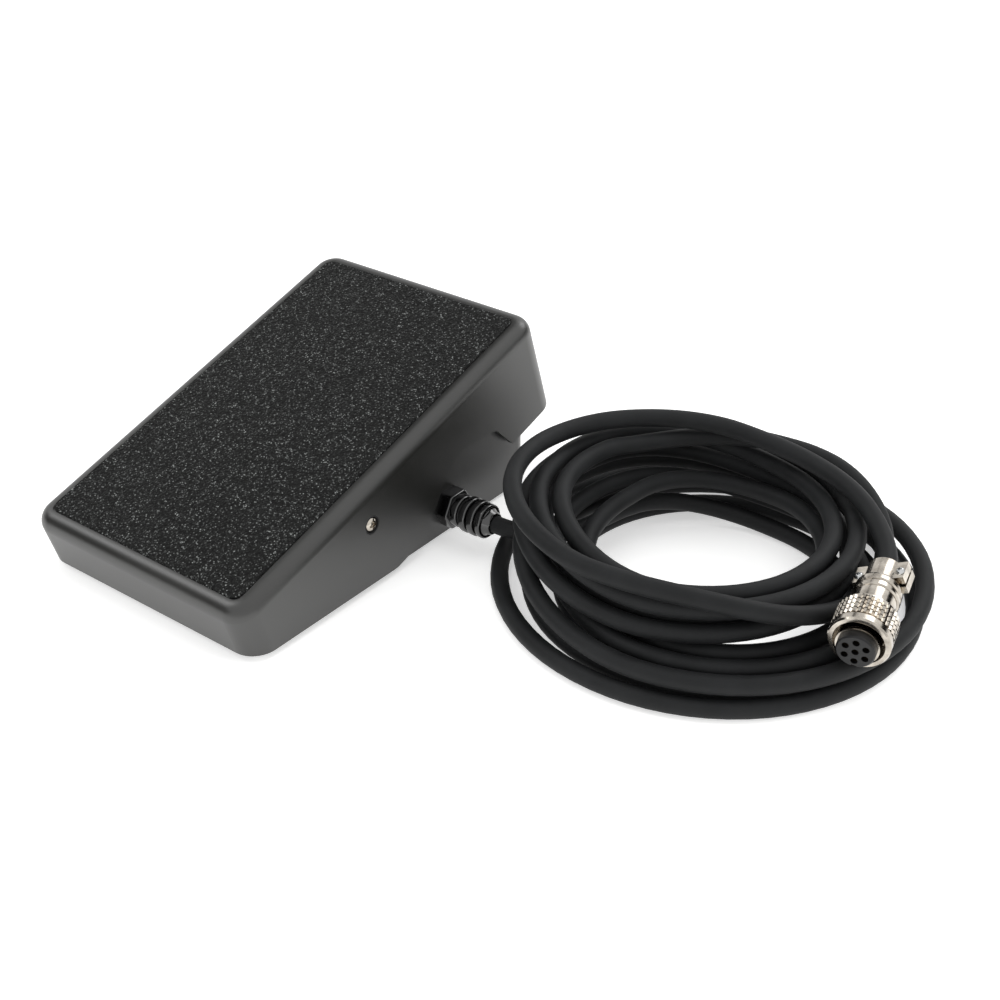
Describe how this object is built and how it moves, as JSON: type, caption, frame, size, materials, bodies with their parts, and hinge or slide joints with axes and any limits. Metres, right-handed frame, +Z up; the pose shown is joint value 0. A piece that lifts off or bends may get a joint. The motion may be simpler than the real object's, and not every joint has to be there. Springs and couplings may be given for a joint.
{
  "type": "foot pedal",
  "caption": "Foot pedal with a sloping hinged treadle and a grit pad, a gear-driven potentiometer, a start switch and a coiled cord to a screw-ring plug.",
  "frame": {"origin": "on the floor under the feet, at the middle of the pedal without its cord", "axes": "+X to the side where the cord leaves, +Y from the heel to the toe, +Z up"},
  "size_m": [0.2543, 0.1959, 0.064],
  "materials": {
    "abs_black": "fine moulded satin texture, black",
    "grit_pad": "coarse mineral grit on a black sheet, with bright specks",
    "rubber_black": "matt black rubber",
    "cord_rubber": "smooth matt black cord jacket",
    "gloss_black": "glossy black moulding",
    "steel": "bright zinc-plated steel",
    "nickel": "bright nickel plate",
    "brass": "tinned brass",
    "phenolic": "brown moulded phenolic",
    "nylon": "natural nylon",
    "insert_black": "matt black moulded insulator"
  },
  "bodies": {
    "base": {"base_tray": "abs_black", "rubber_feet": "rubber_black", "pivot_bushes": "rubber_black", "pivot_screws": "nickel", "travel_bumpers": "rubber_black", "pot_bracket": "steel", "bracket_screws": "steel", "pot_body": "steel", "pot_nut": "nickel", "pot_terminals": "brass", "switch_body": "phenolic", "switch_screws": "steel", "switch_terminals": "brass", "lever_pin": "steel", "return_spring": "steel", "inner_cable": "cord_rubber", "cable_clamp": "abs_black", "cable_clamp_screws": "steel", "wire_leads": "brass", "strain_relief": "gloss_black", "relief_nut": "gloss_black", "cord_lead": "cord_rubber", "cord_coil": "cord_rubber", "cord_tail": "cord_rubber", "plug_shell": "nickel", "plug_saddle": "nickel", "saddle_screws": "steel", "plug_insert": "insert_black", "plug_contacts": "brass"},
    "treadle": {"treadle_cover": "abs_black", "grip_pad": "grit_pad", "sector_gear": "nylon", "sector_screws": "steel"},
    "pot_rotor": {"pot_shaft": "steel", "pinion_gear": "brass", "pinion_set_screw": "steel"},
    "switch_lever": {"switch_lever": "steel"},
    "switch_plunger": {"switch_plunger": "nylon"},
    "plug_ring": {"coupling_ring": "nickel"}
  },
  "joints": [
    {"name": "treadle_press", "type": "hinge", "parent": "base", "child": "treadle", "pos_m": [0, -0.0198, 0.02427], "axis": [-1, 0, 0], "range_deg": [0, 12], "stiffness_Nm_per_rad": 5.5, "springref_deg": -7.91, "deforming": ["return_spring"]},
    {"name": "pot_turn", "type": "hinge", "parent": "base", "child": "pot_rotor", "pos_m": [0, 0.02513, 0.02034], "axis": [1, 0, 0], "range_deg": [0, 97]},
    {"name": "switch_tilt", "type": "hinge", "parent": "base", "child": "switch_lever", "pos_m": [0.02, -0.0228, 0.02527], "axis": [-1, 0, 0], "range_deg": [0, 10.1]},
    {"name": "switch_stroke", "type": "slide", "parent": "base", "child": "switch_plunger", "axis": [0, 0, -1], "range_m": [0, 0.00125]},
    {"name": "ring_turn", "type": "hinge", "parent": "base", "child": "plug_ring", "pos_m": [0.19532, 0.02542, 0.02328], "axis": [0.223, -0.966, -0.1305], "continuous": true}
  ],
  "couplings": [
    {"joint": "pot_turn", "follows": "treadle_press", "ratio": 8},
    {"joint": "switch_tilt", "follows": "treadle_press", "ratio": 0.8333},
    {"joint": "switch_stroke", "follows": "treadle_press", "m_per_rad": 0.0057}
  ]
}
